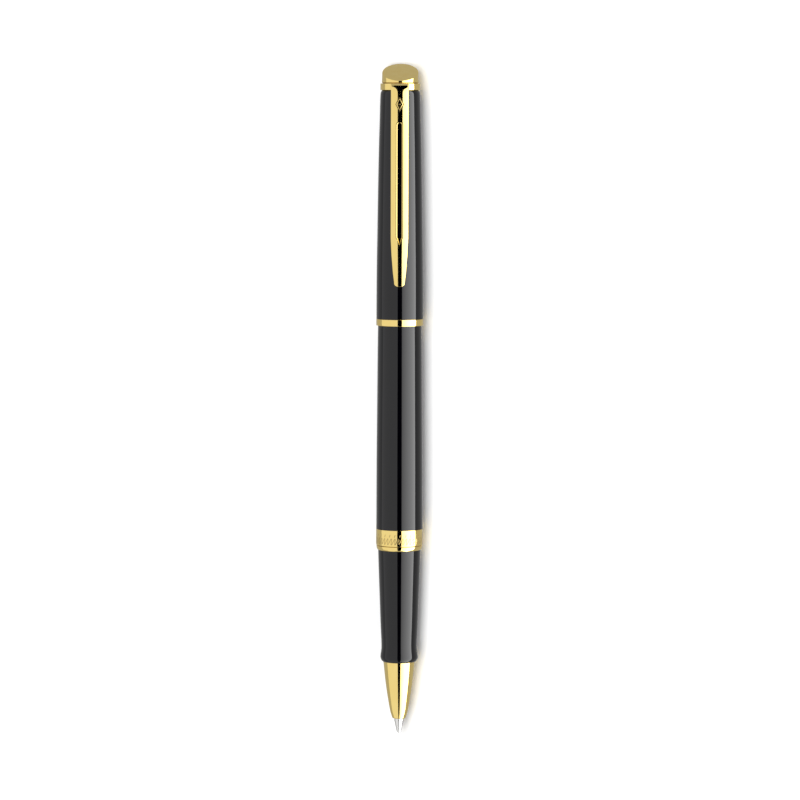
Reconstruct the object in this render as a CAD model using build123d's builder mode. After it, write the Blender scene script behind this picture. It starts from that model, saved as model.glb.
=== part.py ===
from build123d import *
import math
import os

# A slim lacquered rollerball pen lying on its back, cap posted on the rear of the barrel and clip up.
# The pen's axis runs along Y, writing end at -Y. Stations are distances in mm from the writing end, and
# radii are measured from the axis. Each piece is turned from a half outline drawn on the SIDE plane.

# Whole pen
PEN_LENGTH = 148.3
LIP_RING_RADIUS = 5.2
SIDE = Plane(origin=(0, -PEN_LENGTH / 2, LIP_RING_RADIUS), x_dir=(0, 1, 0), z_dir=(1, 0, 0))
PLAN = Plane(origin=(0, -PEN_LENGTH / 2, LIP_RING_RADIUS), x_dir=(1, 0, 0), z_dir=(0, 0, 1))
PEN_AXIS = Axis((0, 0, LIP_RING_RADIUS), (0, 1, 0))

# Refill: a standard European rollerball refill, 110.5 mm long
BALL_RADIUS = 0.35
BALL_PLAY = 0.02
NECK_RADIUS = 1.05
INK_CHANNEL_RADIUS = 0.15
TIP_SHANK_RADIUS = 0.7
TIP_SHOULDER = 5.2
TIP_END = 9.0
HOLDER_CONE_START = 12.0
HOLDER_CONE_END = 14.0
HOLDER_RADIUS = 2.6
TUBE_START = 16.5
TUBE_END = 109.0
TUBE_RADIUS = 3.05
TUBE_BORE = 2.75
HOLDER_END = 22.0
FEED_RADIUS = 0.5
FEED_END = 32.0
RESERVOIR_END = 104.0
REFILL_END = 110.5

# Section: nose cone, grip, threaded core and step ring
REFILL_BORE = 3.15
NOSE_START = 3.28
NOSE_BORE = 1.12
NOSE_SEAT = 16.35
NOSE_END = 21.5
GRIP_START = 16.06
GRIP_END = 41.05
GRIP_BORE = 3.45
CORE_START = 30.0
CORE_RADIUS = 3.75
CORE_END = 49.6
STEP_RING_END = 42.02

# Screw joint between the section and the barrel
THREAD_PITCH = 0.8
THREAD_MINOR = 3.48
THREAD_HEIGHT = 0.35
THREAD_ROOT_HALF = 0.19
THREAD_CREST_HALF = 0.08
THREAD_START = 43.6
THREAD_LENGTH = 4.8
BUSH_BORE = 3.95
BUSH_START = 42.2
BUSH_END = 52.5

# Barrel
BAND_START = 42.08
BAND_END = 45.7
BAND_RADIUS = 5.165
BAND_BORE = 4.8
BARREL_BORE = 4.45
BARREL_END = 118.7
LOOP_START = 48.0
LOOP_END = 62.0
LOOP_RADIUS = 5.09
TAIL_BORE = 3.55
TAIL_BUSH_START = 103.5
TAIL_FLOOR = 117.6
SPRING_SEAT = 116.4
SPRING_WIRE = 0.175
SPRING_RADIUS = 2.35
SPRING_TURNS = 5.5

# Cap
CAP_START = 90.72
LIP_RING_END = 92.18
LIP_RING_REBATE = 92.8
CAP_MOUTH_BORE = 4.84
CAP_REBATE_RADIUS = 4.99
CAP_CEILING = 139.6
CAP_TOP = 142.4
SCREW_RADIUS = 1.5
SCREW_CLEARANCE = 0.05
SCREW_HEAD_RADIUS = 2.6
SCREW_HEAD_START = 137.6
WASHER_START = 139.2
SCREW_END = 145.2
INNER_CAP_START = 111.0
INNER_CAP_BORE = 4.2
INNER_CAP_CEILING = 134.8
INNER_CAP_END = 136.5
INNER_CAP_PLAY = 0.05
COLLAR_RADIUS = 4.385
COLLAR_END = 143.84
FINIAL_BASE_RADIUS = 4.075
FINIAL_FRONT = 144.5
FINIAL_TILT = 26.5

# Clip
CLIP_WIDTH = 3.9
CLIP_THICKNESS = 0.6
CLIP_TONGUE = 143.1
CLIP_TONGUE_ROOT = 2.4
CLIP_ARM_RADIUS = 6.25
CLIP_BEND = 112.0
CLIP_TOE = 100.6
CLIP_END = 99.5
CLIP_END_WIDTH = 1.9
CLIP_SLOT_WIDTH = 1.04
CLIP_SLOT_START = 110.2
CLIP_SLOT_END = 135.2
CLIP_RAMP_START = 108.5

os.makedirs("parts", exist_ok=True)


# Ball: tungsten carbide, free to roll in its socket
with BuildPart() as ball:
    with BuildSketch(SIDE):
        with BuildLine():
            CenterArc((BALL_RADIUS, 0), BALL_RADIUS, 0, 180)
            Line((0, 0), (2 * BALL_RADIUS, 0))
        make_face()
    revolve(axis=PEN_AXIS)
ball.part.label = "ball"
export_step(ball.part, "parts/ball.step")

# Refill tip: nickel silver cone with the ball's socket, its lip rolled in just ahead of the ball's middle
SOCKET_RADIUS = BALL_RADIUS + BALL_PLAY
with BuildPart() as refill_tip:
    with BuildSketch(SIDE):
        with BuildLine():
            Polyline(
                (0.2, 0.34),
                (0.3, SOCKET_RADIUS),
                (0.5, SOCKET_RADIUS),
                (0.76, INK_CHANNEL_RADIUS),
                (TIP_END, INK_CHANNEL_RADIUS),
                (TIP_END, TIP_SHANK_RADIUS),
                (TIP_SHOULDER, TIP_SHANK_RADIUS),
                (TIP_SHOULDER, NECK_RADIUS),
                (2.84, NECK_RADIUS),
                (0.46, 0.52),
                (0.2, 0.42),
                close=True,
            )
        make_face()
    revolve(axis=PEN_AXIS)
refill_tip.part.label = "refill_tip"
export_step(refill_tip.part, "parts/refill_tip.step")

# Tip holder: moulded plastic neck that carries the metal tip and plugs the front of the refill's tube
with BuildPart() as tip_holder:
    with BuildSketch(SIDE):
        with BuildLine():
            Polyline(
                (TIP_SHOULDER, TIP_SHANK_RADIUS),
                (TIP_END, TIP_SHANK_RADIUS),
                (TIP_END, FEED_RADIUS + 0.05),
                (HOLDER_END, FEED_RADIUS + 0.05),
                (HOLDER_END, TUBE_BORE),
                (TUBE_START, TUBE_BORE),
                (TUBE_START, HOLDER_RADIUS),
                (HOLDER_CONE_END, HOLDER_RADIUS),
                (HOLDER_CONE_START, NECK_RADIUS),
                (TIP_SHOULDER, NECK_RADIUS),
                close=True,
            )
        make_face()
    revolve(axis=PEN_AXIS)
tip_holder.part.label = "tip_holder"
export_step(tip_holder.part, "parts/tip_holder.step")

# Ink feed: a thin fibre rod that carries ink from the reservoir to the ball
with BuildPart() as ink_feed:
    with BuildSketch(SIDE):
        with BuildLine():
            Polyline((TIP_END, 0), (TIP_END, FEED_RADIUS), (FEED_END, FEED_RADIUS), (FEED_END, 0), close=True)
        make_face()
    revolve(axis=PEN_AXIS)
ink_feed.part.label = "ink_feed"
export_step(ink_feed.part, "parts/ink_feed.step")

# Ink reservoir: a wad of fibre soaked with ink, bored at the front for the feed
RESERVOIR_RADIUS = TUBE_BORE - 0.05
with BuildPart() as ink_reservoir:
    with BuildSketch(SIDE):
        with BuildLine():
            Polyline(
                (HOLDER_END, FEED_RADIUS),
                (FEED_END, FEED_RADIUS),
                (FEED_END, 0),
                (RESERVOIR_END, 0),
                (RESERVOIR_END, RESERVOIR_RADIUS),
                (HOLDER_END, RESERVOIR_RADIUS),
                close=True,
            )
        make_face()
    revolve(axis=PEN_AXIS)
ink_reservoir.part.label = "ink_reservoir"
export_step(ink_reservoir.part, "parts/ink_reservoir.step")

# Refill tube: drawn metal, open at both ends
with BuildPart() as refill_tube:
    with BuildSketch(SIDE):
        with BuildLine():
            Polyline(
                (TUBE_START, TUBE_BORE),
                (TUBE_START, TUBE_RADIUS),
                (TUBE_END, TUBE_RADIUS),
                (TUBE_END, TUBE_BORE),
                close=True,
            )
        make_face()
    revolve(axis=PEN_AXIS)
refill_tube.part.label = "refill_tube"
export_step(refill_tube.part, "parts/refill_tube.step")

# Refill plug: plastic stopper with a rim as wide as the tube and a central air hole
PLUG_START = 104.6
AIR_HOLE_RADIUS = 0.4
with BuildPart() as refill_plug:
    with BuildSketch(SIDE):
        with BuildLine():
            Polyline(
                (PLUG_START, AIR_HOLE_RADIUS),
                (PLUG_START, TUBE_BORE),
                (TUBE_END, TUBE_BORE),
                (TUBE_END, TUBE_RADIUS),
                (REFILL_END, TUBE_RADIUS),
                (REFILL_END, AIR_HOLE_RADIUS),
                close=True,
            )
        make_face()
    revolve(axis=PEN_AXIS)
    chamfer(refill_plug.edges().filter_by(GeomType.CIRCLE).group_by(Axis.Y)[-1].sort_by(SortBy.RADIUS)[-1], 0.3)
refill_plug.part.label = "refill_plug"
export_step(refill_plug.part, "parts/refill_plug.step")

# Nose cone: gilt brass, convex outside, with the refill's exit hole and a spigot that fits in the grip
SPIGOT_RADIUS = GRIP_BORE - 0.02
with BuildPart() as nose_cone:
    with BuildSketch(SIDE):
        with BuildLine():
            Spline(
                (NOSE_START, NOSE_BORE + 0.04),
                (3.42, 1.35),
                (3.8, 1.54),
                (4.5, 1.81),
                (5.7, 2.1),
                (7.5, 2.42),
                (9.7, 2.77),
                (12.4, 3.11),
                (GRIP_START, 3.5),
            )
            Polyline(
                (GRIP_START, 3.5),
                (GRIP_START, SPIGOT_RADIUS),
                (NOSE_END, SPIGOT_RADIUS),
                (NOSE_END, REFILL_BORE),
                (NOSE_SEAT, REFILL_BORE),
                (NOSE_SEAT, HOLDER_RADIUS + 0.1),
                (HOLDER_CONE_END, HOLDER_RADIUS + 0.1),
                (HOLDER_CONE_START - 0.4, NOSE_BORE),
                (NOSE_START, NOSE_BORE),
                (NOSE_START, NOSE_BORE + 0.04),
            )
        make_face()
    revolve(axis=PEN_AXIS)
nose_cone.part.label = "nose_cone"
export_step(nose_cone.part, "parts/nose_cone.step")

# Grip sleeve: black lacquered section, waisted behind a flared, rounded front lip
with BuildPart() as grip_sleeve:
    with BuildSketch(SIDE):
        with BuildLine():
            Spline(
                (GRIP_START, 3.62),
                (16.35, 3.92),
                (16.8, 4.1),
                (17.2, 4.13),
                (18.0, 4.04),
                (19.3, 3.94),
                (21.7, 4.01),
                (24.3, 4.13),
                (29.6, 4.32),
                (35.0, 4.5),
                (GRIP_END, 4.7),
            )
            Polyline(
                (GRIP_END, 4.7),
                (GRIP_END, CORE_RADIUS),
                (CORE_START, CORE_RADIUS),
                (CORE_START, GRIP_BORE),
                (GRIP_START, GRIP_BORE),
                (GRIP_START, 3.62),
            )
        make_face()
    revolve(axis=PEN_AXIS)
grip_sleeve.part.label = "grip_sleeve"
export_step(grip_sleeve.part, "parts/grip_sleeve.step")

# Section core: brass sleeve inside the grip whose rear half carries the male thread
with BuildPart() as section_core:
    with BuildSketch(SIDE):
        with BuildLine():
            Polyline(
                (CORE_START, REFILL_BORE),
                (CORE_START, CORE_RADIUS),
                (STEP_RING_END, CORE_RADIUS),
                (STEP_RING_END, THREAD_MINOR),
                (CORE_END, THREAD_MINOR),
                (CORE_END, REFILL_BORE),
                close=True,
            )
        make_face()
    revolve(axis=PEN_AXIS)
    with BuildLine() as male_path:
        Helix(
            pitch=THREAD_PITCH,
            height=THREAD_LENGTH,
            radius=THREAD_MINOR - 0.02,
            center=(0, THREAD_START - PEN_LENGTH / 2, LIP_RING_RADIUS),
            direction=(0, 1, 0),
        )
    with BuildSketch(Plane(origin=male_path.line @ 0, x_dir=(0, 0, 1), z_dir=male_path.line % 0)):
        with BuildLine():
            Polyline(
                (0, -THREAD_ROOT_HALF),
                (THREAD_HEIGHT, -THREAD_CREST_HALF),
                (THREAD_HEIGHT, THREAD_CREST_HALF),
                (0, THREAD_ROOT_HALF),
                close=True,
            )
        make_face()
    sweep(path=male_path.line, is_frenet=True)
section_core.part.label = "section_core"
export_step(section_core.part, "parts/section_core.step")

# Step ring: narrow gilt ring, coned towards the grip, that the section tightens against the barrel
with BuildPart() as section_ring:
    with BuildSketch(SIDE):
        with BuildLine():
            Polyline(
                (GRIP_END, CORE_RADIUS),
                (GRIP_END, 4.78),
                (41.25, 4.96),
                (41.6, 5.07),
                (STEP_RING_END, 5.1),
                (STEP_RING_END, CORE_RADIUS),
                close=True,
            )
        make_face()
    revolve(axis=PEN_AXIS)
section_ring.part.label = "section_ring"
export_step(section_ring.part, "parts/section_ring.step")

# Barrel tube: lacquered brass, slightly swelled in front and drawn in towards the closed tail
with BuildPart() as barrel_tube:
    with BuildSketch(SIDE):
        with BuildLine():
            Spline((BAND_END, 5.14), (46.6, 5.12), (LOOP_START, LOOP_RADIUS), tangents=((1, -0.02), (1, 0)))
            Line((LOOP_START, LOOP_RADIUS), (LOOP_END, LOOP_RADIUS))
            Spline(
                (LOOP_END, LOOP_RADIUS),
                (75.0, 4.96),
                (90.0, 4.8),
                (100.0, 4.6),
                (108.0, 4.32),
                (112.0, 4.15),
                (BARREL_END, 3.95),
                tangents=((1, 0), (1, -0.03)),
            )
            Polyline(
                (BARREL_END, 3.95),
                (BARREL_END, 0),
                (TAIL_FLOOR, 0),
                (TAIL_FLOOR, TAIL_BORE),
                (TAIL_BUSH_START - 0.5, TAIL_BORE),
                (TAIL_BUSH_START - 4.5, 3.95),
                (BAND_END + 40, 4.2),
                (BUSH_END + 3, BARREL_BORE),
                (BUSH_START, BARREL_BORE),
                (BUSH_START, BAND_BORE),
                (BAND_END, BAND_BORE),
                (BAND_END, 5.14),
            )
        make_face()
    revolve(axis=PEN_AXIS)
    fillet(barrel_tube.edges().filter_by(GeomType.CIRCLE).sort_by(Axis.Y)[-1], 0.9)
barrel_tube.part.label = "barrel_tube"
export_step(barrel_tube.part, "parts/barrel_tube.step")

# Centre band: wide gilt ring over the front of the barrel, with eased edges
with BuildPart() as centre_band:
    with BuildSketch(SIDE):
        with BuildLine():
            Polyline(
                (BAND_START, BAND_BORE),
                (BAND_START, BAND_RADIUS),
                (BAND_END, BAND_RADIUS),
                (BAND_END, BAND_BORE),
                close=True,
            )
        make_face()
    revolve(axis=PEN_AXIS)
    fillet(centre_band.edges().filter_by(GeomType.CIRCLE).group_by(SortBy.RADIUS)[-1], 0.1)
centre_band.part.label = "centre_band"
export_step(centre_band.part, "parts/centre_band.step")

# Thread bush: brass, pressed into the front of the barrel, with the female thread half a pitch behind the male
with BuildPart() as thread_bush:
    with BuildSketch(SIDE):
        with BuildLine():
            Polyline(
                (BUSH_START, BUSH_BORE),
                (BUSH_START, BARREL_BORE),
                (BUSH_END, BARREL_BORE),
                (BUSH_END, BUSH_BORE),
                close=True,
            )
        make_face()
    revolve(axis=PEN_AXIS)
    with BuildLine() as female_path:
        Helix(
            pitch=THREAD_PITCH,
            height=THREAD_LENGTH + 3 * THREAD_PITCH,
            radius=BUSH_BORE + 0.02,
            center=(0, THREAD_START - 1.5 * THREAD_PITCH - PEN_LENGTH / 2, LIP_RING_RADIUS),
            direction=(0, 1, 0),
        )
    with BuildSketch(Plane(origin=female_path.line @ 0, x_dir=(0, 0, 1), z_dir=female_path.line % 0)):
        with BuildLine():
            Polyline(
                (0, -THREAD_ROOT_HALF),
                (-THREAD_HEIGHT, -THREAD_CREST_HALF),
                (-THREAD_HEIGHT, THREAD_CREST_HALF),
                (0, THREAD_ROOT_HALF),
                close=True,
            )
        make_face()
    sweep(path=female_path.line, is_frenet=True)
thread_bush.part.label = "thread_bush"
export_step(thread_bush.part, "parts/thread_bush.step")

# Tail bush: plastic cup in the barrel's tail that guides the refill's end and holds its spring
with BuildPart() as tail_bush:
    with BuildSketch(SIDE):
        with BuildLine():
            Polyline(
                (TAIL_BUSH_START, REFILL_BORE),
                (SPRING_SEAT, REFILL_BORE),
                (SPRING_SEAT, 1.2),
                (TAIL_FLOOR, 1.2),
                (TAIL_FLOOR, TAIL_BORE),
                (TAIL_BUSH_START, TAIL_BORE),
                close=True,
            )
        make_face()
    revolve(axis=PEN_AXIS)
tail_bush.part.label = "tail_bush"
export_step(tail_bush.part, "parts/tail_bush.step")

# Spring: an open coil of round wire that presses the refill forward onto the nose cone's seat
SPRING_START = REFILL_END + SPRING_WIRE + 0.08
SPRING_HEIGHT = SPRING_SEAT - SPRING_WIRE - 0.08 - SPRING_START
with BuildPart() as spring:
    with BuildLine() as coil:
        Helix(
            pitch=SPRING_HEIGHT / SPRING_TURNS,
            height=SPRING_HEIGHT,
            radius=SPRING_RADIUS,
            center=(0, SPRING_START - PEN_LENGTH / 2, LIP_RING_RADIUS),
            direction=(0, 1, 0),
        )
    with BuildSketch(Plane(origin=coil.line @ 0, z_dir=coil.line % 0)):
        Circle(SPRING_WIRE)
    sweep(path=coil.line, is_frenet=True)
spring.part.label = "spring"
export_step(spring.part, "parts/spring.step")

# Cap tube: lacquered brass, tapering to a rounded top that is bored for the finial's screw
with BuildPart() as cap_tube:
    with BuildSketch(SIDE):
        with BuildLine():
            Spline(
                (LIP_RING_END, 5.16),
                (100.5, 5.13),
                (107.0, 5.05),
                (113.8, 4.96),
                (122.7, 4.84),
                (131.5, 4.63),
                (CAP_TOP, 4.36),
            )
            Polyline(
                (CAP_TOP, 4.36),
                (CAP_TOP, SCREW_RADIUS + SCREW_CLEARANCE),
                (CAP_CEILING, SCREW_RADIUS + SCREW_CLEARANCE),
                (CAP_CEILING, 3.9),
                (INNER_CAP_END, 4.05),
                (122.7, 4.38),
                (INNER_CAP_START, 4.5),
                (105.0, 4.7),
                (LIP_RING_REBATE, CAP_MOUTH_BORE),
                (LIP_RING_REBATE, CAP_REBATE_RADIUS),
                (LIP_RING_END, CAP_REBATE_RADIUS),
                (LIP_RING_END, 5.16),
            )
        make_face()
    revolve(axis=PEN_AXIS)
    fillet(cap_tube.edges().filter_by(GeomType.CIRCLE).group_by(Axis.Y)[-1].sort_by(SortBy.RADIUS)[-1], 0.5)
cap_tube.part.label = "cap_tube"
export_step(cap_tube.part, "parts/cap_tube.step")

# Lip ring: gilt ring round the cap's mouth, let into the tube's end by a short rebate
with BuildPart() as cap_ring:
    with BuildSketch(SIDE):
        with BuildLine():
            Polyline(
                (CAP_START, CAP_MOUTH_BORE),
                (CAP_START, LIP_RING_RADIUS),
                (LIP_RING_END, LIP_RING_RADIUS),
                (LIP_RING_END, CAP_REBATE_RADIUS),
                (LIP_RING_REBATE, CAP_REBATE_RADIUS),
                (LIP_RING_REBATE, CAP_MOUTH_BORE),
                close=True,
            )
        make_face()
    revolve(axis=PEN_AXIS)
    fillet(cap_ring.edges().filter_by(GeomType.CIRCLE).group_by(SortBy.RADIUS)[-1], 0.12)
cap_ring.part.label = "cap_ring"
export_step(cap_ring.part, "parts/cap_ring.step")

# Inner cap: plastic liner that seals round the nose when the pen is capped, and seats on the barrel's tail
with BuildPart() as inner_cap:
    with BuildSketch(SIDE):
        with BuildLine():
            Polyline(
                (INNER_CAP_START, INNER_CAP_BORE),
                (INNER_CAP_START, 4.5 - INNER_CAP_PLAY),
                (122.7, 4.38 - INNER_CAP_PLAY),
                (INNER_CAP_END, 4.05 - INNER_CAP_PLAY),
                (INNER_CAP_END, 0),
                (INNER_CAP_CEILING, 0),
                (INNER_CAP_CEILING, 3.7),
                (BARREL_END + 0.5, INNER_CAP_BORE - 0.15),
                (BARREL_END + 0.5, INNER_CAP_BORE),
                close=True,
            )
        make_face()
    revolve(axis=PEN_AXIS)
inner_cap.part.label = "inner_cap"
export_step(inner_cap.part, "parts/inner_cap.step")

# Cap screw and its washer, which draw the finial and collar down onto the cap from inside
DRIVER_SLOT_WIDTH = 0.7
DRIVER_SLOT_DEPTH = 0.6
with BuildPart() as cap_screw:
    with BuildSketch(SIDE):
        with BuildLine():
            Polyline(
                (SCREW_HEAD_START, 0),
                (SCREW_HEAD_START, SCREW_HEAD_RADIUS),
                (WASHER_START, SCREW_HEAD_RADIUS),
                (WASHER_START, SCREW_RADIUS),
                (SCREW_END, SCREW_RADIUS),
                (SCREW_END, 0),
                close=True,
            )
        make_face()
    revolve(axis=PEN_AXIS)
    with BuildSketch(SIDE):
        with Locations((SCREW_HEAD_START + DRIVER_SLOT_DEPTH / 2, 0)):
            Rectangle(DRIVER_SLOT_DEPTH, DRIVER_SLOT_WIDTH)
    extrude(amount=SCREW_HEAD_RADIUS, both=True, mode=Mode.SUBTRACT)
cap_screw.part.label = "cap_screw"
export_step(cap_screw.part, "parts/cap_screw.step")

with BuildPart() as lock_washer:
    with BuildSketch(SIDE):
        with BuildLine():
            Polyline(
                (WASHER_START, SCREW_RADIUS + SCREW_CLEARANCE),
                (WASHER_START, SCREW_HEAD_RADIUS + 0.2),
                (CAP_CEILING, SCREW_HEAD_RADIUS + 0.2),
                (CAP_CEILING, SCREW_RADIUS + SCREW_CLEARANCE),
                close=True,
            )
        make_face()
    revolve(axis=PEN_AXIS)
lock_washer.part.label = "lock_washer"
export_step(lock_washer.part, "parts/lock_washer.step")

# Clip collar: gilt disc between cap and finial, slotted on top for the clip's tongue
WINDOW_PLAY = 0.28
WINDOW_HALF = CLIP_THICKNESS / 2 + WINDOW_PLAY
with BuildPart() as clip_collar:
    with BuildSketch(SIDE):
        with BuildLine():
            Polyline(
                (CAP_TOP, SCREW_RADIUS + SCREW_CLEARANCE),
                (CAP_TOP, COLLAR_RADIUS),
                (COLLAR_END, COLLAR_RADIUS),
                (COLLAR_END, SCREW_RADIUS + SCREW_CLEARANCE),
                close=True,
            )
        make_face()
    revolve(axis=PEN_AXIS)
    fillet(clip_collar.edges().filter_by(GeomType.CIRCLE).group_by(SortBy.RADIUS)[-1], 0.12)
    with BuildSketch(SIDE):
        with Locations((CLIP_TONGUE, CLIP_TONGUE_ROOT - 0.2)):
            Rectangle(2 * WINDOW_HALF, 3.0, align=(Align.CENTER, Align.MIN))
    extrude(amount=CLIP_WIDTH / 2 + 0.15, both=True, mode=Mode.SUBTRACT)
clip_collar.part.label = "clip_collar"
export_step(clip_collar.part, "parts/clip_collar.step")

# Finial: gilt crown with a slanted oval face, low on the clip's side
FINIAL_FACE = Plane(
    origin=SIDE.from_local_coords((FINIAL_FRONT, FINIAL_BASE_RADIUS)),
    x_dir=(1, 0, 0),
    z_dir=(0, math.cos(math.radians(FINIAL_TILT)), math.sin(math.radians(FINIAL_TILT))),
)
with BuildPart() as finial:
    with BuildSketch(SIDE):
        with BuildLine():
            Polyline(
                (COLLAR_END, 0),
                (COLLAR_END, FINIAL_BASE_RADIUS),
                (PEN_LENGTH + 1, 3.88),
                (PEN_LENGTH + 1, 0),
                close=True,
            )
        make_face()
    revolve(axis=PEN_AXIS)
    split(bisect_by=FINIAL_FACE, keep=Keep.BOTTOM)
    fillet(finial.edges().filter_by(GeomType.ELLIPSE), 0.3)
    with BuildSketch(SIDE):
        with BuildLine():
            Polyline(
                (COLLAR_END, 0),
                (COLLAR_END, SCREW_RADIUS),
                (SCREW_END + 0.1, SCREW_RADIUS),
                (SCREW_END + 0.1, 0),
                close=True,
            )
        make_face()
    revolve(axis=PEN_AXIS, mode=Mode.SUBTRACT)
finial.part.label = "finial"
export_step(finial.part, "parts/finial.step")

# Clip: one gilt spring strip, its tongue held in the collar, the arm slotted and the toe turned down to the cap.
# The slot is round at its top and square at its foot, where a ramp with a V outline climbs to the outer face.
CLIP_SHOULDER_BEND = 1.0
CLIP_TOE_BEND = 12.0
CLIP_LIP_BEND = 0.8
RAMP_SLOPE = 17.0
RAMP_LENGTH = (CLIP_SLOT_START - CLIP_RAMP_START) / math.cos(math.radians(RAMP_SLOPE))
RAMP = Plane(
    origin=SIDE.from_local_coords((CLIP_RAMP_START, 6.35)),
    x_dir=(1, 0, 0),
    z_dir=(0, math.sin(math.radians(RAMP_SLOPE)), math.cos(math.radians(RAMP_SLOPE))),
)
with BuildPart() as clip:
    with BuildSketch(SIDE):
        with BuildLine():
            FilletPolyline(
                (CLIP_TONGUE, CLIP_TONGUE_ROOT),
                (CLIP_TONGUE, CLIP_ARM_RADIUS),
                (CLIP_BEND, CLIP_ARM_RADIUS),
                (CLIP_TOE, 5.6),
                (CLIP_END, 5.75),
                radius=(CLIP_SHOULDER_BEND, CLIP_TOE_BEND, CLIP_LIP_BEND),
            )
        trace(line_width=CLIP_THICKNESS)
    extrude(amount=CLIP_WIDTH / 2, both=True)
    with BuildSketch(PLAN):
        with BuildLine():
            Polyline(
                (-CLIP_WIDTH / 2, 150),
                (-CLIP_WIDTH / 2, CLIP_SLOT_START),
                (-CLIP_END_WIDTH / 2, CLIP_END),
                (CLIP_END_WIDTH / 2, CLIP_END),
                (CLIP_WIDTH / 2, CLIP_SLOT_START),
                (CLIP_WIDTH / 2, 150),
                close=True,
            )
        make_face()
    extrude(amount=10, mode=Mode.INTERSECT)
    with BuildSketch(PLAN):
        with Locations((0, (CLIP_SLOT_START + CLIP_SLOT_END) / 2)):
            SlotOverall(CLIP_SLOT_END - CLIP_SLOT_START, CLIP_SLOT_WIDTH, rotation=90)
        with Locations((0, CLIP_SLOT_START + CLIP_SLOT_WIDTH / 2)):
            Rectangle(CLIP_SLOT_WIDTH, CLIP_SLOT_WIDTH)
    extrude(amount=10, mode=Mode.SUBTRACT)
    with BuildSketch(RAMP):
        with BuildLine():
            Polyline(
                (0, 0),
                (CLIP_SLOT_WIDTH / 2, RAMP_LENGTH),
                (-CLIP_SLOT_WIDTH / 2, RAMP_LENGTH),
                close=True,
            )
        make_face()
    extrude(amount=1, mode=Mode.SUBTRACT)
clip.part.label = "clip"
export_step(clip.part, "parts/clip.step")
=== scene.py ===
import math

import bmesh
import bpy
import numpy as np
from mathutils import Matrix, Vector


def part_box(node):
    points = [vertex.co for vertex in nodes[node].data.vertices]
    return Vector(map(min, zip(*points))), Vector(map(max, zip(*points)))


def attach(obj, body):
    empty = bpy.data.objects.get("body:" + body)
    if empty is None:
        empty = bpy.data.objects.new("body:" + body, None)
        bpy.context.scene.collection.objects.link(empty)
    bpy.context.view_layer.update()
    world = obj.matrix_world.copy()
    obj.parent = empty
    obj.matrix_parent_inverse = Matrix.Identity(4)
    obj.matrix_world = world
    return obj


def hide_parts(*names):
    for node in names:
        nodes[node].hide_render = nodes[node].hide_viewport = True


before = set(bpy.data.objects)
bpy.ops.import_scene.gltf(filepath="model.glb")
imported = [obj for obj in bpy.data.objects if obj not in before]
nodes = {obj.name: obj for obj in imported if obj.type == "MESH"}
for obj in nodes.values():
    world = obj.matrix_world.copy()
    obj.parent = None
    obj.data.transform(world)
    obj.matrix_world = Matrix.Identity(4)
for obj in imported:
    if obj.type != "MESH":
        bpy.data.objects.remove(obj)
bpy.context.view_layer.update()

# -----------------------------------------------------------------------------------------------------------
# Barrel: a drawn brass tube, sprayed with black lacquer, rubbed down and polished. It swells a little behind the
# centre band and draws in to a closed tail, which the posted cap hides. A gilt band is pressed over its front.
# -----------------------------------------------------------------------------------------------------------
MM = 0.001
TIP_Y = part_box("ball")[0].y
AXIS_Z = (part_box("barrel_tube")[0].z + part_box("barrel_tube")[1].z) / 2


def span(node):
    """Where a CAD node starts and ends along the pen, in mm from the writing end, and its half width."""
    low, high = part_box(node)
    return (low.y - TIP_Y) / MM, (high.y - TIP_Y) / MM, (high.x - low.x) / 2 / MM


def fair(stations, steps=10):
    """The radius as a smooth function of the distance t, as rows (t, r). Between two stations it is the cubic
    r(s) = (1 + 2s)(1 - s)^2 r0 + s(1 - s)^2 h m0 + s^2(3 - 2s) r1 - s^2(1 - s) h m1, where h is the span and
    each slope m is that of the parabola through the station and its neighbours."""
    t, r = np.array(stations, float).T
    slope = np.gradient(r, t)
    s = np.arange(steps) / steps
    h = np.diff(t)[:, None]
    radius = (1 + 2 * s) * (1 - s) ** 2 * r[:-1, None] + s * (1 - s) ** 2 * h * slope[:-1, None]
    radius += s ** 2 * (3 - 2 * s) * r[1:, None] - s ** 2 * (1 - s) * h * slope[1:, None]
    rows = np.column_stack([(t[:-1, None] + s * h).ravel(), radius.ravel()])
    return np.vstack([rows, [t[-1], r[-1]]])


def eased(*parts, closed=True, steps=7):
    """An outline (t, r) with rounded corners. Each part is one corner (t, r, setback d), or rows of sharp points
    (t, r). A corner p becomes the parabola (1 - s)^2 (p + d u) + 2 s (1 - s) p + s^2 (p + d v), where u and v
    point from it to its two neighbours."""
    rows = [np.atleast_2d(np.array(part, float)) for part in parts]
    rows = np.vstack([np.column_stack([r, np.zeros(len(r))]) if r.shape[1] == 2 else r for r in rows])
    p, d = rows[:, :2], rows[:, 2:]
    before, after = np.roll(p, 1, axis=0) - p, np.roll(p, -1, axis=0) - p
    before /= np.maximum(np.linalg.norm(before, axis=1, keepdims=True), 1e-9)
    after /= np.maximum(np.linalg.norm(after, axis=1, keepdims=True), 1e-9)
    s = np.linspace(0, 1, steps)[None, :, None]
    curve = ((1 - s) ** 2 * (p + d * before)[:, None] + 2 * s * (1 - s) * p[:, None]
             + s ** 2 * (p + d * after)[:, None])
    points = curve.reshape(-1, 2)
    fresh = np.linalg.norm(points - np.roll(points, 1, axis=0), axis=1) > 1e-6
    fresh[0] = fresh[0] or not closed
    return points[fresh]


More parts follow.
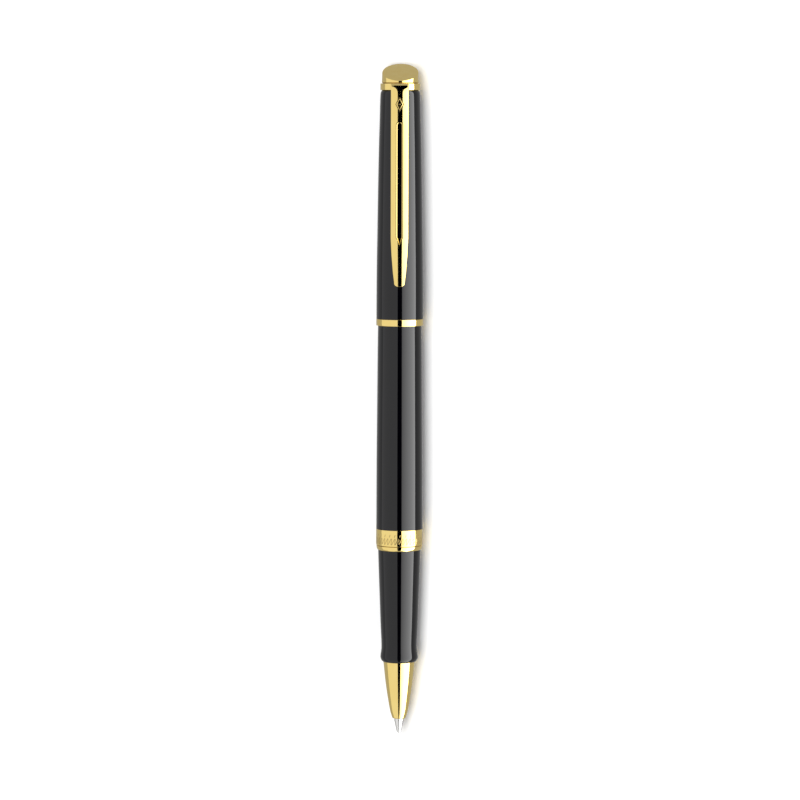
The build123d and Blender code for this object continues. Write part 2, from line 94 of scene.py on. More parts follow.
def shell(name, points, faces, material, sharp_angle=32):
    """A closed mesh from points in mm (across, along from the writing end, up from the axis) and its faces.
    Doubles at poles and seams merge, faces turn outwards, and edges that bend by over sharp_angle stay sharp."""
    mesh = bpy.data.meshes.new(name)
    corners = [list(dict.fromkeys(face)) for face in faces.tolist()]
    placed = (points * MM + np.array([0.0, TIP_Y, AXIS_Z])).tolist()
    mesh.from_pydata(placed, [], [face for face in corners if len(face) > 2])
    mesh.materials.append(material)
    piece = bpy.data.objects.new(name, mesh)
    bpy.context.scene.collection.objects.link(piece)
    form = bmesh.new()
    form.from_mesh(mesh)
    bmesh.ops.remove_doubles(form, verts=form.verts, dist=2e-8)
    bmesh.ops.delete(form, geom=[e for e in form.edges if not e.link_faces], context="EDGES")
    bmesh.ops.recalc_face_normals(form, faces=form.faces)
    form.to_mesh(mesh)
    form.free()
    mesh.shade_smooth()
    mesh.set_sharp_from_angle(angle=math.radians(sharp_angle))
    piece.modifiers.new("even_shading", "WEIGHTED_NORMAL").keep_sharp = True
    return piece


def turned(name, outline, material, around=192, relief=None):
    """The closed outline (t, r) carried round the pen's axis: across = r sin a, along = t, up = r cos a. A
    relief takes relief(t, a, r) off the radius."""
    angle = np.arange(around) * 2 * np.pi / around
    t, r = outline[:, :1] + 0 * angle, outline[:, 1:] + 0 * angle
    if relief is not None:
        r = r - relief(t, angle + 0 * t, r)
    points = np.stack([r * np.sin(angle), t, r * np.cos(angle)], axis=-1).reshape(-1, 3)
    i, j = np.meshgrid(np.arange(len(outline)), np.arange(around), indexing="ij")
    i2, j2 = (i + 1) % len(outline), (j + 1) % around
    faces = np.stack([i * around + j, i2 * around + j, i2 * around + j2, i * around + j2], axis=-1)
    faces = faces.reshape(-1, 4)
    return shell(name, points, faces, material)


def surface(name, colour, metallic, roughness, sockets=()):
    """A Principled material with one value all over for each socket; noise is added to it below."""
    material = bpy.data.materials.new(name)
    material.use_nodes = True
    shader = material.node_tree.nodes["Principled BSDF"]
    shader.inputs["Base Color"].default_value = (*colour, 1)
    shader.inputs["Metallic"].default_value = metallic
    shader.inputs["Roughness"].default_value = roughness
    for socket, value in dict(sockets).items():
        shader.inputs[socket].default_value = value
    return material


def noise(material, per_mm, detail=4.0):
    """A noise of the object's own coordinates, with per_mm = (x, y, z) features a mm; its value is 0 to 1."""
    tree = material.node_tree
    coords = tree.nodes.new("ShaderNodeTexCoord")
    mapping = tree.nodes.new("ShaderNodeMapping")
    mapping.inputs["Scale"].default_value = [f / MM for f in per_mm]
    texture = tree.nodes.new("ShaderNodeTexNoise")
    texture.inputs["Scale"].default_value = 1.0
    texture.inputs["Detail"].default_value = detail
    tree.links.new(coords.outputs["Object"], mapping.inputs["Vector"])
    tree.links.new(mapping.outputs["Vector"], texture.inputs["Vector"])
    return texture.outputs["Fac"]


def vary_roughness(material, low, high, per_mm):
    """Roughness runs from low to high as the noise runs from 0.35 to 0.65."""
    tree = material.node_tree
    ramp = tree.nodes.new("ShaderNodeMapRange")
    ramp.inputs["From Min"].default_value, ramp.inputs["From Max"].default_value = 0.35, 0.65
    ramp.inputs["To Min"].default_value, ramp.inputs["To Max"].default_value = low, high
    tree.links.new(noise(material, per_mm), ramp.inputs["Value"])
    tree.links.new(ramp.outputs["Result"], tree.nodes["Principled BSDF"].inputs["Roughness"])


def vary_colour(material, first, second, per_mm):
    """Base colour mixes from first to second by the noise, with a soft threshold at its middle."""
    tree = material.node_tree
    ramp = tree.nodes.new("ShaderNodeValToRGB")
    ramp.color_ramp.elements[0].position, ramp.color_ramp.elements[0].color = 0.36, (*first, 1)
    ramp.color_ramp.elements[1].position, ramp.color_ramp.elements[1].color = 0.64, (*second, 1)
    tree.links.new(noise(material, per_mm), ramp.inputs["Fac"])
    tree.links.new(ramp.outputs["Color"], tree.nodes["Principled BSDF"].inputs["Base Color"])


def ripple(material, depth_mm, per_mm, socket="Normal"):
    """A bump whose height is depth_mm times the noise; a second one on the same socket adds to the first."""
    tree = material.node_tree
    shader = tree.nodes["Principled BSDF"]
    bump = tree.nodes.new("ShaderNodeBump")
    bump.inputs["Distance"].default_value = depth_mm * MM
    tree.links.new(noise(material, per_mm), bump.inputs["Height"])
    if shader.inputs[socket].links:
        tree.links.new(shader.inputs[socket].links[0].from_socket, bump.inputs["Normal"])
    tree.links.new(bump.outputs["Normal"], shader.inputs[socket])


def black_lacquer():
    """Deep black under a clear, flowed and buffed topcoat: faint orange peel, and haze where it was rubbed."""
    coat = {"Specular IOR Level": 0.0, "Coat Weight": 1.0, "Coat Roughness": 0.035, "Coat IOR": 1.5}
    material = surface("black_lacquer", (0.0007, 0.0006, 0.0014), 0.0, 0.4, coat)
    vary_colour(material, (0.0006, 0.0005, 0.0012), (0.0009, 0.0008, 0.0018), (0.5, 0.12, 0.5))
    vary_roughness(material, 0.3, 0.5, (1.5, 0.4, 1.5))
    ripple(material, 0.0005, (1.1, 0.8, 1.1), "Coat Normal")
    return material


def turned_metal(name, light, dark, roughness, lines_per_mm=6.0, line_depth=0.0004):
    """Metal polished on a lathe: fine lines round the axis, a roughness that drifts, and a slightly uneven
    colour between light and dark."""
    material = surface(name, light, 1.0, roughness)
    vary_colour(material, light, dark, (0.7, 0.25, 0.7))
    vary_roughness(material, roughness * 0.75, roughness * 1.35, (0.9, 2.5, 0.9))
    ripple(material, line_depth, (0.15, lines_per_mm, 0.15))
    ripple(material, line_depth * 1.5, (0.6, 0.6, 0.6))
    return material


def painted_shade_in_cuts(material, dark, rough):
    """Painted shade in the cuts: where the mesh's "cut" attribute nears 1, the metal turns to the dark colour, which
    stands for the shade in engraved strokes and grooves, and to the rough value, which makes them matt."""
    tree = material.node_tree
    shader = tree.nodes["Principled BSDF"]
    cut = tree.nodes.new("ShaderNodeAttribute")
    cut.attribute_name = "cut"
    for socket, kind, value in (("Base Color", "RGBA", (*dark, 1)), ("Roughness", "FLOAT", rough)):
        mix = tree.nodes.new("ShaderNodeMix")
        mix.data_type = kind
        base, other, result = (6, 7, 2) if kind == "RGBA" else (2, 3, 0)
        tree.links.new(shader.inputs[socket].links[0].from_socket, mix.inputs[base])
        mix.inputs[other].default_value = value
        tree.links.new(cut.outputs["Fac"], mix.inputs[0])
        tree.links.new(mix.outputs[result], shader.inputs[socket])


def mark_cuts(piece, share):
    """Writes the share of each point that is cut, as share(x, t, z) in mm, to the mesh's "cut" attribute, which sets
    where the gilt's painted shade goes.
    """
    mesh = piece.data
    place = np.empty(3 * len(mesh.vertices), np.float32)
    mesh.vertices.foreach_get("co", place)
    x, t, z = ((place.reshape(-1, 3) - np.array([0.0, TIP_Y, AXIS_Z])) / MM).T
    mesh.attributes.new("cut", "FLOAT", "POINT").data.foreach_set("value", share(x, t, z).astype(np.float32))


lacquer = black_lacquer()
gilt = turned_metal("gilt", (0.955, 0.74, 0.275), (0.94, 0.71, 0.245), 0.055)
# Painted shade: the gilt turns dark brown in the engraved strokes and in the groove at the finial's base.
painted_shade_in_cuts(gilt, (0.42, 0.28, 0.10), 0.35)
bare_brass = turned_metal("bare_brass", (0.80, 0.62, 0.32), (0.70, 0.52, 0.25), 0.24, 9.0, 0.002)

BAND_START, BAND_END, BAND_RADIUS = span("centre_band")
BARREL_START, BARREL_END, _ = span("barrel_tube")
BARREL_BORE = span("thread_bush")[2]
TAIL_BUSH_START, TAIL_FLOOR, TAIL_BORE = span("tail_bush")
barrel_side = fair([
    (BAND_END, 5.14), (47.0, 5.125), (52.0, 5.105), (58.0, 5.09), (63.0, 5.065), (70.0, 5.005), (78.8, 4.935),
    (86.0, 4.875), (92.0, 4.79), (100.0, 4.62), (106.0, 4.42), (112.0, 4.15), (116.0, 4.02), (117.4, 3.98),
])
barrel = turned("barrel", eased(
    (BARREL_START, BARREL_BORE, 0.08), (BARREL_START, 4.8, 0.05), (BAND_END, 4.8),
    barrel_side, (BARREL_END, 3.95, 1.1), (BARREL_END - 0.02, 1.6), (BARREL_END, 0.0),
    (TAIL_FLOOR, 0.0), (TAIL_FLOOR, TAIL_BORE), (TAIL_BUSH_START - 0.5, TAIL_BORE),
    (TAIL_BUSH_START - 4.5, 3.95), (BAND_END + 40, 4.2), (BAND_END + 10, BARREL_BORE),
), lacquer)
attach(barrel, "barrel")
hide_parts("barrel_tube")

# The band's engraving stands for the maker's border: a close, leaning, running wave under a row of short ticks.
WAVE_PITCH, TICK_PITCH = 2 * np.pi * BAND_RADIUS / 38, 2 * np.pi * BAND_RADIUS / 27
WAVE_HEIGHT, WAVE_LEAN, CUT_DEPTH, CUT_WIDTH = 0.6, 0.35, 0.012, 0.075
wave_line, tick_line = BAND_START + 1.15, BAND_START + 2.4


def border(around_mm, t):
    """How deep the cutter went, 0 to 1: exp(-(q / CUT_WIDTH)^2), with q the distance to the nearest stroke. The
    wave is v = WAVE_HEIGHT sin(2 pi (u - WAVE_LEAN v) / WAVE_PITCH), where u runs round the band and v along it;
    its distance is the equation's error over the length of its gradient."""
    u, v = around_mm, t - wave_line
    turn = 2 * np.pi * (u - WAVE_LEAN * v) / WAVE_PITCH
    steep = WAVE_HEIGHT * 2 * np.pi / WAVE_PITCH * np.cos(turn)
    wave = np.abs(v - WAVE_HEIGHT * np.sin(turn)) / np.hypot(1 + WAVE_LEAN * steep, steep)
    lean = u - WAVE_LEAN * (t - tick_line)
    tick = np.hypot(np.abs(lean - TICK_PITCH * np.round(lean / TICK_PITCH)),
                    np.maximum(np.abs(t - tick_line) - 0.22, 0))
    return np.exp(-(np.minimum(wave, tick) / CUT_WIDTH) ** 2)


def engraving(t, a, r):
    """The border cut into the band's outer face, with a whole number of waves round it."""
    return np.where(r > BAND_RADIUS - 0.02, CUT_DEPTH * border(around_band(a), t), 0)


def around_band(a):
    """Distance round the band for the angle a; 38 waves, or 27 ticks, go once round."""
    return (a + np.pi / 2) * BAND_RADIUS


band_middle = (BAND_START + BAND_END) / 2
rows = np.linspace(BAND_START + 0.2, BAND_END - 0.14, 100)
crown = BAND_RADIUS - 0.015 * (2 * (rows - band_middle) / (BAND_END - BAND_START)) ** 2
centre_band = turned("centre_band_engraved", eased(
    (BAND_START, 4.8), (BAND_START, BAND_RADIUS - 0.015, 0.2), np.column_stack([rows, crown]),
    (BAND_END, BAND_RADIUS - 0.015, 0.1), (BAND_END, 4.8),
), gilt, around=880, relief=engraving)
# The engraved strokes get the gilt's painted shade through this "cut" share.
mark_cuts(centre_band, lambda x, t, z: (border(around_band(np.arctan2(x, z)), t)
                                        * (np.hypot(x, z) > BAND_RADIUS - 0.06)))
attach(centre_band, "barrel")
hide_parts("centre_band")

# Inside the barrel: the brass thread bush, the plastic cup in the tail and the refill's spring of drawn wire.
def moulded(name, light, dark, roughness):
    """Injection-moulded plastic: even colour with a slight cloud, and a fine satin grain."""
    material = surface(name, light, 0.0, roughness, {"IOR": 1.49})
    vary_colour(material, light, dark, (0.3, 0.3, 0.3))
    vary_roughness(material, roughness * 0.85, roughness * 1.2, (3, 3, 3))
    ripple(material, 0.002, (8, 8, 8))
    return material


liner_plastic = moulded("liner_plastic", (0.05, 0.05, 0.055), (0.04, 0.04, 0.045), 0.42)
spring_steel = turned_metal("spring_steel", (0.62, 0.62, 0.64), (0.5, 0.5, 0.53), 0.22, 3.0, 0.001)
for node, material in (("thread_bush", bare_brass), ("tail_bush", liner_plastic), ("spring", spring_steel)):
    nodes[node].data.materials.clear()
    nodes[node].data.materials.append(material)

# -----------------------------------------------------------------------------------------------------------
# Section: a black moulded grip on a brass core. The core's rear half is threaded and screws into the barrel, a
# coned gilt ring closes the joint, and the gilt nose cone plugs into the grip's front.
# -----------------------------------------------------------------------------------------------------------
GRIP_START, GRIP_END, _ = span("grip_sleeve")
GRIP_BORE, CORE_RADIUS = 3.45, 3.75
CORE_START = span("section_core")[0]
grip_side = fair([
    (17.3, 4.14), (17.7, 4.11), (18.3, 4.02), (19.1, 3.945), (20.2, 3.95), (21.7, 4.01), (24.3, 4.135),
    (27.0, 4.235), (29.6, 4.32), (35.0, 4.51), (GRIP_END - 0.15, 4.7),
])
section_black = surface("section_black", (0.0008, 0.0007, 0.0014), 0.0, 0.35, {
    "Specular IOR Level": 0.0, "Coat Weight": 1.0, "Coat Roughness": 0.04, "Coat IOR": 1.49})
vary_colour(section_black, (0.0007, 0.0006, 0.0013), (0.001, 0.0009, 0.0018), (0.4, 0.2, 0.4))
ripple(section_black, 0.0004, (0.9, 0.7, 0.9), "Coat Normal")
grip = turned("grip", eased(
    (GRIP_START, GRIP_BORE), (GRIP_START, 3.64, 0.06), (16.3, 3.9, 0.15), (16.85, 4.16, 0.3), grip_side,
    (GRIP_END, 4.7, 0.05), (GRIP_END, CORE_RADIUS), (CORE_START, CORE_RADIUS), (CORE_START, GRIP_BORE),
), section_black)
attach(grip, "section")
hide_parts("grip_sleeve")

RING_START, RING_END, RING_RADIUS = span("section_ring")
step_ring = turned("step_ring", eased(
    (RING_START, CORE_RADIUS), (RING_START, 4.8, 0.04), (41.3, 4.97, 0.1), (41.65, 5.06, 0.12),
    (RING_END, RING_RADIUS, 0.2), (RING_END, CORE_RADIUS),
), gilt)
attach(step_ring, "section")
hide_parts("section_ring")

NOSE_START, NOSE_END, _ = span("nose_cone")
nose_side = fair([
    (3.75, 1.61), (4.4, 1.83), (5.5, 2.08), (7.5, 2.43), (9.7, 2.78), (12.4, 3.12), (15.66, 3.46),
    (GRIP_START - 0.02, 3.5)])
nose = turned("nose", eased(
    (NOSE_START, 1.12, 0.02), (NOSE_START, 1.46, 0.32), nose_side, (GRIP_START - 0.01, 3.42),
    (NOSE_END, 3.42), (NOSE_END, 3.15), (16.35, 3.15), (16.35, 2.7), (14.0, 2.7), (11.6, 1.12),
), gilt)
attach(nose, "section")
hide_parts("nose_cone")
nodes["section_core"].data.materials.clear()
nodes["section_core"].data.materials.append(bare_brass)

# -----------------------------------------------------------------------------------------------------------
# Refill: a turned nickel silver tip holds the carbide ball in a rolled lip. A plastic holder carries it in the
# front of a nickelled tube, which is packed with an ink-soaked fibre wad and stopped at the rear.
# -----------------------------------------------------------------------------------------------------------
nickel_silver = turned_metal("nickel_silver", (0.86, 0.85, 0.83), (0.78, 0.77, 0.75), 0.16, 14.0, 0.0008)
carbide = turned_metal("carbide", (0.5, 0.5, 0.52), (0.42, 0.42, 0.44), 0.1, 1.0, 0.0002)
BALL_RADIUS = span("ball")[2]
TIP_START, TIP_END, NECK_RADIUS = span("refill_tip")
tip = turned("tip", eased(
    (TIP_START, 0.34), (TIP_START, 0.42, 0.02), (0.46, 0.53, 0.08), (2.84, NECK_RADIUS, 0.1), (5.2, NECK_RADIUS),
    (5.2, 0.7), (TIP_END, 0.7), (TIP_END, 0.15), (0.76, 0.15), (0.5, 0.37), (0.3, 0.37),
), nickel_silver, around=96)
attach(tip, "refill")
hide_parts("refill_tip")

half_turn = np.linspace(0, np.pi, 33)
ball_outline = BALL_RADIUS * np.column_stack([1 - np.cos(half_turn), np.sin(half_turn)])
writing_ball = turned("writing_ball", ball_outline, carbide, around=64)
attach(writing_ball, "ball")
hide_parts("ball")

refill_metal = turned_metal("refill_metal", (0.70, 0.70, 0.71), (0.62, 0.62, 0.63), 0.3, 5.0, 0.001)
refill_plastic = moulded("refill_plastic", (0.06, 0.07, 0.10), (0.05, 0.06, 0.085), 0.35)
ink_fibre = surface("ink_fibre", (0.02, 0.025, 0.07), 0.0, 0.8, {"Sheen Weight": 0.3})
vary_colour(ink_fibre, (0.012, 0.016, 0.05), (0.03, 0.036, 0.09), (6, 0.8, 6))
ripple(ink_fibre, 0.03, (9, 0.7, 9))
for node, material in (
    ("tip_holder", refill_plastic), ("refill_plug", refill_plastic), ("refill_tube", refill_metal),
    ("ink_feed", ink_fibre), ("ink_reservoir", ink_fibre),
):
    nodes[node].data.materials.clear()
    nodes[node].data.materials.append(material)

# -----------------------------------------------------------------------------------------------------------
# Cap: a lacquered brass tube that tapers to a rounded top, with a gilt lip ring let into its mouth. Collar and
# finial are drawn down on its top by a screw from inside, and a plastic inner cap seals the nose.
# -----------------------------------------------------------------------------------------------------------
CAP_START, _, LIP_RADIUS = span("cap_ring")
LIP_END = 92.18
_, CAP_TOP, _ = span("cap_tube")
INNER_CAP_START, INNER_CAP_END, _ = span("inner_cap")
cap_side = fair([
    (LIP_END + 0.03, 5.17), (94.0, 5.165), (100.5, 5.14), (105.0, 5.095), (109.4, 5.025), (113.8, 4.965),
    (118.2, 4.9), (122.7, 4.83), (127.0, 4.745), (131.5, 4.65), (136.0, 4.52), (140.4, 4.41), (141.1, 4.38),
])
cap = turned("cap", eased(
    (LIP_END, 4.99), (LIP_END, 5.17, 0.03), cap_side, (142.3, 4.3, 0.75), (CAP_TOP, 4.1), (CAP_TOP, 1.55),
    (139.6, 1.55), (139.6, 3.9), (INNER_CAP_END, 4.05), (122.7, 4.38), (INNER_CAP_START, 4.5), (105.0, 4.7),
    (92.8, 4.84), (92.8, 4.99),
), lacquer)
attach(cap, "cap")
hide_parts("cap_tube")

lip_ring = turned("lip_ring", eased(
    (CAP_START, 4.84, 0.05), (CAP_START, LIP_RADIUS, 0.12), (LIP_END, LIP_RADIUS, 0.12), (LIP_END, 4.99),
    (92.8, 4.99), (92.8, 4.84),
), gilt)
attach(lip_ring, "cap")
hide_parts("cap_ring")

COLLAR_START, COLLAR_END, COLLAR_RADIUS = span("clip_collar")
WINDOW_START, WINDOW_END, WINDOW_HALF, WINDOW_FLOOR = 142.52, 143.68, 1.98, 2.2


def clip_window(t, a, r):
    """The pocket for the clip's tongue: between WINDOW_START and WINDOW_END, and where |r sin a| is under its
    half width on the top side, the rim comes in to WINDOW_FLOOR / cos a."""
    inside = (t > WINDOW_START) & (t < WINDOW_END) & (np.abs(r * np.sin(a)) < WINDOW_HALF) & (np.cos(a) > 0)
    return np.where(inside & (r > 4.0), r - WINDOW_FLOOR / np.maximum(np.cos(a), 0.5), 0)


window_rows = np.array([[WINDOW_START - 0.001, 1], [WINDOW_START + 0.001, 1], [WINDOW_END - 0.001, 1],
                        [WINDOW_END + 0.001, 1]]) * (1, COLLAR_RADIUS)
collar = turned("collar", eased(
    (COLLAR_START, 1.55), (COLLAR_START, COLLAR_RADIUS, 0.09), window_rows, (COLLAR_END, COLLAR_RADIUS, 0.12),
    (COLLAR_END, 1.55),
), gilt, around=720, relief=clip_window)
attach(collar, "cap")
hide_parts("clip_collar")

# The finial's oval face slants from low on the clip's side to high at the back, with an eased rim and a slight dome.
FINIAL_START, _, FINIAL_RADIUS = span("finial")
FACE_TILT, FACE_FRONT, RIM, DOME = math.radians(25.6), 144.4, 0.2, 0.12
angle = np.arange(192) * 2 * np.pi / 192
climb = np.linspace(0, 1, 12)[:, None]
bend = np.linspace(0, np.pi / 2, 8)[1:, None]
inward = np.linspace(1, 0, 26)[1:, None]


def face_height(up, share):
    """Station of the slanted face at height up above the axis, domed by DOME (1 - share^2)."""
    return FACE_FRONT + math.tan(FACE_TILT) * (FINIAL_RADIUS - up) + DOME * (1 - share ** 2)


side_radius = FINIAL_RADIUS - 0.04 * climb - 0.1 * climb * (1 - np.cos(angle)) / 2
rim_start = face_height(side_radius[-1] * np.cos(angle), 1.0) - RIM
side_t = FINIAL_START + 0.22 + climb * (rim_start - FINIAL_START - 0.22)
rim_share = 1 - RIM * (1 - np.cos(bend)) / FINIAL_RADIUS
rim_radius = side_radius[-1] * rim_share
rim_t = rim_start + RIM * np.sin(bend) + (face_height(rim_radius * np.cos(angle), 1.0) - rim_start - RIM)
face_radius = rim_radius[-1] * inward
face_t = face_height(face_radius * np.cos(angle), inward) + 0 * angle
base = np.array([[0.0], [1.5], [3.86], [3.9], [3.92], [3.98], [4.04]]) + 0 * angle
base_t = FINIAL_START + np.array([[0.0], [0.0], [0.0], [0.03], [0.1], [0.14], [0.17]]) + 0 * angle
finial_r = np.vstack([base, side_radius, rim_radius, face_radius])
finial_t = np.vstack([base_t, side_t, rim_t, face_t])
finial_points = np.stack([finial_r * np.sin(angle), finial_t, finial_r * np.cos(angle)], axis=-1)
i, j = np.meshgrid(np.arange(len(finial_r) - 1), np.arange(192), indexing="ij")
j2 = (j + 1) % 192
finial_faces = np.stack([i * 192 + j, (i + 1) * 192 + j, (i + 1) * 192 + j2, i * 192 + j2], axis=-1)
crown_piece = shell("crown", finial_points.reshape(-1, 3), finial_faces.reshape(-1, 4), gilt)
# The finial's base groove is marked as cut all over, so the gilt there gets painted shade: the dark line of the
# joint with the collar.
mark_cuts(crown_piece, lambda x, t, z: 1.0 * (t < FINIAL_START + 0.18))
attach(crown_piece, "cap")
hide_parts("finial")
for node, material in (("inner_cap", liner_plastic), ("cap_screw", spring_steel), ("lock_washer", spring_steel)):
    nodes[node].data.materials.clear()
    nodes[node].data.materials.append(material)

# -----------------------------------------------------------------------------------------------------------
# Clip: one strip of gilt spring brass, crowned across its width. Its tongue goes into the collar's window, a
# shoulder bends it over the cap's top, a long slot is pierced in the arm, and the toe turns down to the cap.
# -----------------------------------------------------------------------------------------------------------
CLIP_THICKNESS, CLIP_HALF, EDGE = 0.56, 1.93, 0.12
SLOT_HALF, SLOT_TOP, SLOT_FOOT, NOTCH_FOOT = 0.51, 135.3, 110.2, 108.5
ROLL, ROLL_DEPTH = 0.3, 0.07
LOZENGE_AT, LOZENGE_HALF, LOZENGE_LENGTH = 139.3, 0.8, 1.35
CLIP_END = (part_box("clip")[0].y - TIP_Y) / MM
TOE = 0.9
shoulder = eased(
    (143.36, 2.6), (143.36, 4.62, 0.25), (143.8, 4.95, 0.25), (143.8, 6.62, 1.15), (141.8, 6.6),
    closed=False, steps=14)
shoulder = shoulder[:-1]
quarter = np.linspace(0, np.pi / 2, 14)
arm_rows = np.concatenate([
    np.linspace(shoulder[-1, 0] - 0.1, LOZENGE_AT + LOZENGE_LENGTH + 0.2, 8)[:-1],
    np.linspace(LOZENGE_AT + LOZENGE_LENGTH + 0.2, LOZENGE_AT - LOZENGE_LENGTH - 0.2, 52)[:-1],
    np.linspace(LOZENGE_AT - LOZENGE_LENGTH - 0.2, SLOT_TOP + ROLL, 16)[:-1],
    np.linspace(SLOT_TOP + ROLL, SLOT_TOP, 8)[:-1],
    SLOT_TOP - SLOT_HALF * (1 - np.cos(quarter)),
    np.linspace(SLOT_TOP - SLOT_HALF, SLOT_FOOT, 60)[1:],
    np.linspace(SLOT_FOOT, NOTCH_FOOT - ROLL, 26)[1:],
    np.linspace(NOTCH_FOOT - ROLL, CLIP_END + TOE, 36)[1:],
    CLIP_END + TOE * (1 - np.sin(np.linspace(0, np.pi / 2, 14)[1:])),
])
arm_line = fair([
    (CLIP_END - 0.2, 5.9), (100.4, 5.84), (101.6, 5.88), (103.5, 6.07), (107.0, 6.4), (112.0, 6.62),
    (120.0, 6.68), (132.0, 6.64), (142.0, 6.62),
])
arm = np.column_stack([arm_rows, np.interp(arm_rows, arm_line[:, 0], arm_line[:, 1])])
path = np.vstack([shoulder, arm])
heading = np.gradient(path, axis=0)
heading /= np.linalg.norm(heading, axis=1, keepdims=True)
out = np.column_stack([heading[:, 1], -heading[:, 0]])
t = path[:, :1]
on_arm = (np.arange(len(path)) >= len(shoulder) - 8)[:, None]
curvature = np.where(on_arm, np.interp(t, [100, 112, 142.0, 143.4], [0.215, 0.19, 0.17, 0.02]), 0.0)

# Half the width: parallel to the slot's foot, a long taper, and a blunt toe with the corners of an ellipse.
half = np.interp(t, [CLIP_END + TOE, 100.9, 102.5, 106.2, 110.0], [1.18, 1.24, 1.45, 1.74, CLIP_HALF])
half = half * (1 - np.clip((CLIP_END + TOE - t) / TOE, 0, 0.97) ** 2.6) ** (1 / 2.6)
slot = np.where((t <= SLOT_TOP) & (t >= NOTCH_FOOT), SLOT_HALF, 0.0)
arch = np.sqrt(np.clip(1 - ((t - SLOT_TOP + SLOT_HALF) / SLOT_HALF) ** 2, 0, 1))
slot = np.where(t > SLOT_TOP - SLOT_HALF, slot * arch, slot)
slot = np.where(t < SLOT_FOOT, slot * (t - NOTCH_FOOT) / (SLOT_FOOT - NOTCH_FOOT), slot)


def from_slot(x, t):
    """Distance from the slot's outline in the strip's plane: from the circle at its arch, the straight sides, or
    the V at its foot, where it grows by 2 ROLL a mm so that the rolled edge dies out."""
    arch_side = np.hypot(x, t - SLOT_TOP + SLOT_HALF) - SLOT_HALF
    v_side = (np.abs(x) - slot) * np.cos(np.arctan(SLOT_HALF / (SLOT_FOOT - NOTCH_FOOT)))
    v_side = np.where(t > NOTCH_FOOT, v_side, np.hypot(x, t - NOTCH_FOOT)) + 2 * ROLL * (SLOT_FOOT - t)
    side = np.where(t > SLOT_FOOT, np.abs(x) - SLOT_HALF, v_side)
    return np.where(t > SLOT_TOP - SLOT_HALF, arch_side, side)


def lozenge(x, t):
    """The small engraved mark, 0 to 1: exp(-(q / 0.06)^2) of the distance q to the lozenge |x| / half width +
    |t - middle| / half length = 1 or to the dot at its centre."""
    across, along = np.abs(x) / LOZENGE_HALF, np.abs(t - LOZENGE_AT) / LOZENGE_LENGTH
    frame_line = np.abs(across + along - 1) / np.hypot(1 / LOZENGE_HALF, 1 / LOZENGE_LENGTH)
    dot = np.maximum(np.hypot(x, t - LOZENGE_AT) - 0.12, 0)
    return np.exp(-(np.minimum(frame_line, dot) / 0.06) ** 2)


# Columns of a rail, from its outer edge in to the slot or the middle, then of the notch between the rails.
ease = np.linspace(0, np.pi / 2, 6)[None]
outer_x = half - EDGE * (1 - np.cos(ease))
inner_gap = slot + (outer_x[:, -1:] - slot) * (1 - np.linspace(0, 1, 34)[None, 1:])
rail_x = np.hstack([outer_x, inner_gap])
rail_depth = np.hstack([EDGE * (1 - np.sin(ease)) + 0 * half, 0 * inner_gap])
rolled = ROLL_DEPTH * np.clip(1 - from_slot(rail_x, t) / ROLL, 0, 1) ** 2
marked = 0.02 * lozenge(rail_x, t)
toe_edge = EDGE - np.sqrt(np.clip(EDGE ** 2 - np.clip(EDGE - (t - CLIP_END), 0, EDGE) ** 2, 0, None))
rail_depth = np.maximum(rail_depth + np.where(on_arm, rolled + marked, 0), toe_edge)
notch_share = np.linspace(-1, 1, 9)[None]
fall = np.clip((t - NOTCH_FOOT) / (SLOT_FOOT - NOTCH_FOOT), 0, 1)
wall = np.where(np.abs(notch_share) > 0.99, 0.0, (CLIP_THICKNESS - 0.04) * fall)
notch_depth = np.where(np.abs(notch_share) > 0.99, rail_depth[:, -1:], wall)
across = np.hstack([-rail_x, slot * notch_share, rail_x[:, ::-1]])
depth = np.hstack([rail_depth, notch_depth, rail_depth[:, ::-1]])


def plate(name, across, depth, keep, material):
    """A closed strip. Its top is path + out (crown - depth), with crown = -curvature x^2 / 2, its underside the
    same at the full thickness, and a wall stands on each edge of the kept quads that only one of them has."""
    def face(d):
        level = (-curvature * across ** 2 / 2 - d)[..., None] * out[:, None]
        return np.stack([across, path[:, None, 0] + level[..., 0], path[:, None, 1] + level[..., 1]], axis=-1)
    top, under = face(depth).reshape(-1, 3), face(CLIP_THICKNESS + 0 * depth).reshape(-1, 3)
    _, first, same = np.unique(np.round(top, 5), axis=0, return_index=True, return_inverse=True)
    same = first[same.ravel()]
    rows_count, columns = across.shape
    i, j = np.meshgrid(np.arange(rows_count - 1), np.arange(columns - 1), indexing="ij")
    corner = i * columns + j
    quads = np.stack([corner, corner + columns, corner + columns + 1, corner + 1], axis=-1)
    quads = same[quads[keep]]
    edges = np.concatenate([quads[:, [k, (k + 1) % 4]] for k in range(4)])
    edges = edges[edges[:, 0] != edges[:, 1]]
    _, index, count = np.unique(np.sort(edges, axis=1), axis=0, return_index=True, return_counts=True)
    rim = edges[index[count == 1]]
    shift = len(top)
    walls = np.column_stack([rim[:, ::-1], rim + shift])
    return shell(name, np.vstack([top, under]), np.vstack([quads, quads[:, ::-1] + shift, walls]), material)


row_t = (path[1:, 0] + path[:-1, 0]) / 2
columns = across.shape[1] - 1
rails = rail_x.shape[1]
is_notch = (np.arange(columns) >= rails - 1) & (np.arange(columns) < rails + 8)
keep = ~is_notch[None] | ((row_t < SLOT_FOOT) & (row_t > NOTCH_FOOT))[:, None]
clip = plate("clip_strip", across, depth, keep, gilt)
# The engraved lozenge gets the gilt's painted shade at 0.7 of its strength.
mark_cuts(clip, lambda x, t, z: 0.7 * lozenge(x, t) * (z > 6))
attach(clip, "clip")
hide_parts("clip")

